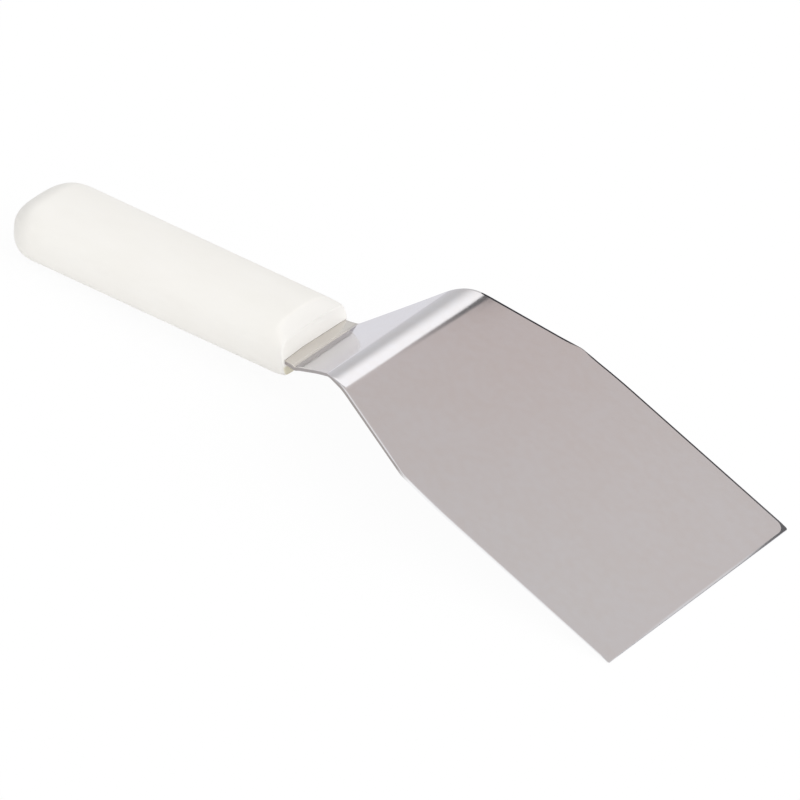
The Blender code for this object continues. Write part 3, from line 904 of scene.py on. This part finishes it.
def card(name, corners, material):
    """A flat card beyond the camera's view, which only mirror images see."""
    bm = bmesh.new()
    bm.faces.new([bm.verts.new(corner) for corner in corners])
    item = new_object(name, bm)
    item.data.materials.append(material)
    item.visible_camera = False
    item.visible_shadow = False
    item.visible_diffuse = False


class TURNER_OT_camera(bpy.types.Operator):
    """Place the camera where the photograph was taken from"""
    bl_idname = "turner.camera"
    bl_label = "Place camera"

    def execute(self, context):
        studio = context.scene.turner_studio
        turn, rise = studio.azimuth, studio.elevation
        back = Vector((sin(turn) * cos(rise), -cos(turn) * cos(rise), sin(rise)))
        level = back.cross(Vector((0.0, 0.0, 1.0))).normalized() * -1
        upright = back.cross(level)
        right = level * cos(studio.roll) + upright * sin(studio.roll)
        up = back.cross(right)
        camera = bpy.data.objects.new("camera", bpy.data.cameras.new("camera"))
        context.scene.collection.objects.link(camera)
        axes = Matrix((right, up, back)).transposed().to_4x4()
        camera.matrix_world = Matrix.Translation(Vector(studio.aim) + back * studio.distance) @ axes
        camera.data.lens = studio.lens
        camera.data.sensor_width = SENSOR_WIDTH
        camera.data.clip_end = CLIP_DISTANCES * studio.distance
        context.scene.camera = camera
        return {"FINISHED"}


class TURNER_OT_blade(bpy.types.Operator):
    """Build the blade, neck and tang from one fine sheet and give it its steel"""
    bl_idname = "turner.blade"
    bl_label = "Build blade"

    def execute(self, context):
        sheet = context.scene.turner_sheet
        form = SheetForm(sheet)
        rings = [form.ring(run) for run in form.runs()]
        bm = bmesh.new()
        skin(bm, [[point for point, _ in ring] for ring in rings])
        blade = new_object("blade", bm)
        cut(blade, lock_posts(sheet, sheet.hole))
        self.mark_places(blade.data, rings)
        self.mark_edge_faces(blade.data, form)
        seat(blade, "blade_with_tang")
        dress(blade, "blade_with_tang", satin_steel(context.scene.turner_finish, form))
        return {"FINISHED"}

    def mark_places(self, mesh, rings):
        """Keep each point's place on the flat blank. The tang is flat, so a new point at a hole is its own place."""
        known = {point.to_tuple(PLACE_DIGITS): place for ring in rings for point, place in ring}
        places = []
        for vertex in mesh.vertices:
            x, y, z = vertex.co
            places.extend(known.get(vertex.co.to_tuple(PLACE_DIGITS), (x, y, -z)))
        mesh.attributes.new("blank_place", "FLOAT_VECTOR", "POINT").data.foreach_set("vector", places)

    def mark_edge_faces(self, mesh, form):
        """Mark the corners of the faces that stand on the sheet's edge."""
        mark = mesh.attributes.new("edge_face", "FLOAT", "CORNER")
        spots = mesh.attributes["blank_place"].data
        margin = 2 * form.sizes.broken_edge
        for face in mesh.polygons:
            places = [spots[mesh.loops[i].vertex_index].vector for i in face.loop_indices]
            downs = [place.z for place in places]
            upright = max(downs) - min(downs) > form.sizes.tip * EDGE_HEIGHT
            outer = all(form.half_width(place.x) - abs(place.y) < margin for place in places)
            end = len(places) > 4
            for i in face.loop_indices:
                mark.data[i].value = 1.0 if upright and (outer or end) else 0.0


class TURNER_OT_handle(bpy.types.Operator):
    """Build the moulded handle round the tang and give it its plastic"""
    bl_idname = "turner.handle"
    bl_label = "Build handle"

    def execute(self, context):
        sheet, sizes = context.scene.turner_sheet, context.scene.turner_handle
        form = HandleForm(sizes)
        bm = bmesh.new()
        skin(bm, [form.ring(run) for run in form.runs()])
        handle = new_object("grip", bm)
        cut(handle, tang_pocket(sheet, SheetForm(sheet), sizes.seam, sizes.nose))
        mouth = seat(handle, "handle")
        dress(handle, "handle", moulded_plastic(context.scene.turner_finish, mouth))
        return {"FINISHED"}


class TURNER_OT_stage(bpy.types.Operator):
    """Lay the pale floor and set up the soft light with its cards"""
    bl_idname = "turner.stage"
    bl_label = "Set up studio"

    def execute(self, context):
        studio = context.scene.turner_studio
        studio_world(studio)
        bm = bmesh.new()
        bmesh.ops.create_circle(bm, cap_ends=True, segments=CIRCLE_SIDES, radius=studio.floor)
        floor = new_object("floor", bm)
        floor.data.materials.append(floor_material(studio))
        low, high, foot = studio.card_low, studio.card_high, studio.card_foot

        def light_paint(nodes, x, y, z):
            return low + foot * (1 - z.step(*CARD_FOOT)) + (high - low) * (z + x * CARD_SLANT).step(*CARD_RISE)

        def grey_paint(nodes, x, y, z):
            grey = nodes.blend(x.step(*GREY_CHANGE), studio.grey_near, studio.grey_far)
            return nodes.blend(z.step(*GREY_COOLING) * studio.grey_cooling, grey, studio.grey_cool)

        def dark_paint(nodes, x, y, z):
            left = nodes.blend(z.step(*DARK_FOOT), studio.dark_foot, studio.dark_low)
            lower = nodes.blend(x.step(*DARK_RIGHT), left, studio.dark_card)
            dark = nodes.blend(z.step(*DARK_LIFT), lower, studio.dark_card)
            return nodes.blend(z.step(*DARK_FADE), dark, studio.grey_near)

        def front_paint(nodes, x, y, z):
            return opaque((studio.front_card,) * 3)

        def top_paint(nodes, x, y, z):
            return nodes.blend(y.step(*TOP_START), (studio.top_card,) * 3, studio.grey_far)

        shades = (("light_card", LIGHT_CARD, light_paint), ("dark_card", DARK_CARD, dark_paint),
                  ("grey_card", GREY_CARD, grey_paint), ("front_card", FRONT_CARD, front_paint))
        for order, (name, corners, paint) in enumerate(shades):
            behind = studio.card_distance + order * CARD_GAP
            card(name, [(x, behind, z) for x, z in corners], glowing(name, paint))
        card("top_card", [(x, y, studio.top_height) for x, y in TOP_CARD], glowing("top_card", top_paint))
        return {"FINISHED"}


class TURNER_PT_looks(bpy.types.Panel):
    """Sizes, finishes and steps of the griddle turner"""
    bl_idname = "TURNER_PT_looks"
    bl_label = "Griddle turner"
    bl_space_type = "VIEW_3D"
    bl_region_type = "UI"
    bl_category = "Turner"

    def draw(self, context):
        for operator in OPERATORS:
            self.layout.operator(operator.bl_idname)
        for name, group in GROUPS.items():
            box = self.layout.box()
            for size in group.__annotations__:
                box.prop(getattr(context.scene, name), size)


OPERATORS = (TURNER_OT_camera, TURNER_OT_blade, TURNER_OT_handle, TURNER_OT_stage)
GROUPS = {"turner_sheet": TurnerSheetSizes, "turner_handle": TurnerHandleSizes,
          "turner_finish": TurnerFinishes, "turner_studio": TurnerStudio}


def register():
    """Make the sizes, the steps and the panel known to Blender."""
    for name, group in GROUPS.items():
        bpy.utils.register_class(group)
        setattr(bpy.types.Scene, name, PointerProperty(type=group))
    for item in (*OPERATORS, TURNER_PT_looks):
        bpy.utils.register_class(item)


def unregister():
    """Take them out again."""
    for item in (TURNER_PT_looks, *reversed(OPERATORS)):
        bpy.utils.unregister_class(item)
    for name, group in GROUPS.items():
        delattr(bpy.types.Scene, name)
        bpy.utils.unregister_class(group)


def main():
    """Build the turner and its studio."""
    register()
    bpy.ops.turner.camera()
    bpy.ops.turner.blade()
    bpy.ops.turner.handle()
    bpy.ops.turner.stage()
    bpy.context.scene.view_settings.view_transform = "Standard"


if __name__ == "__main__":
    main()
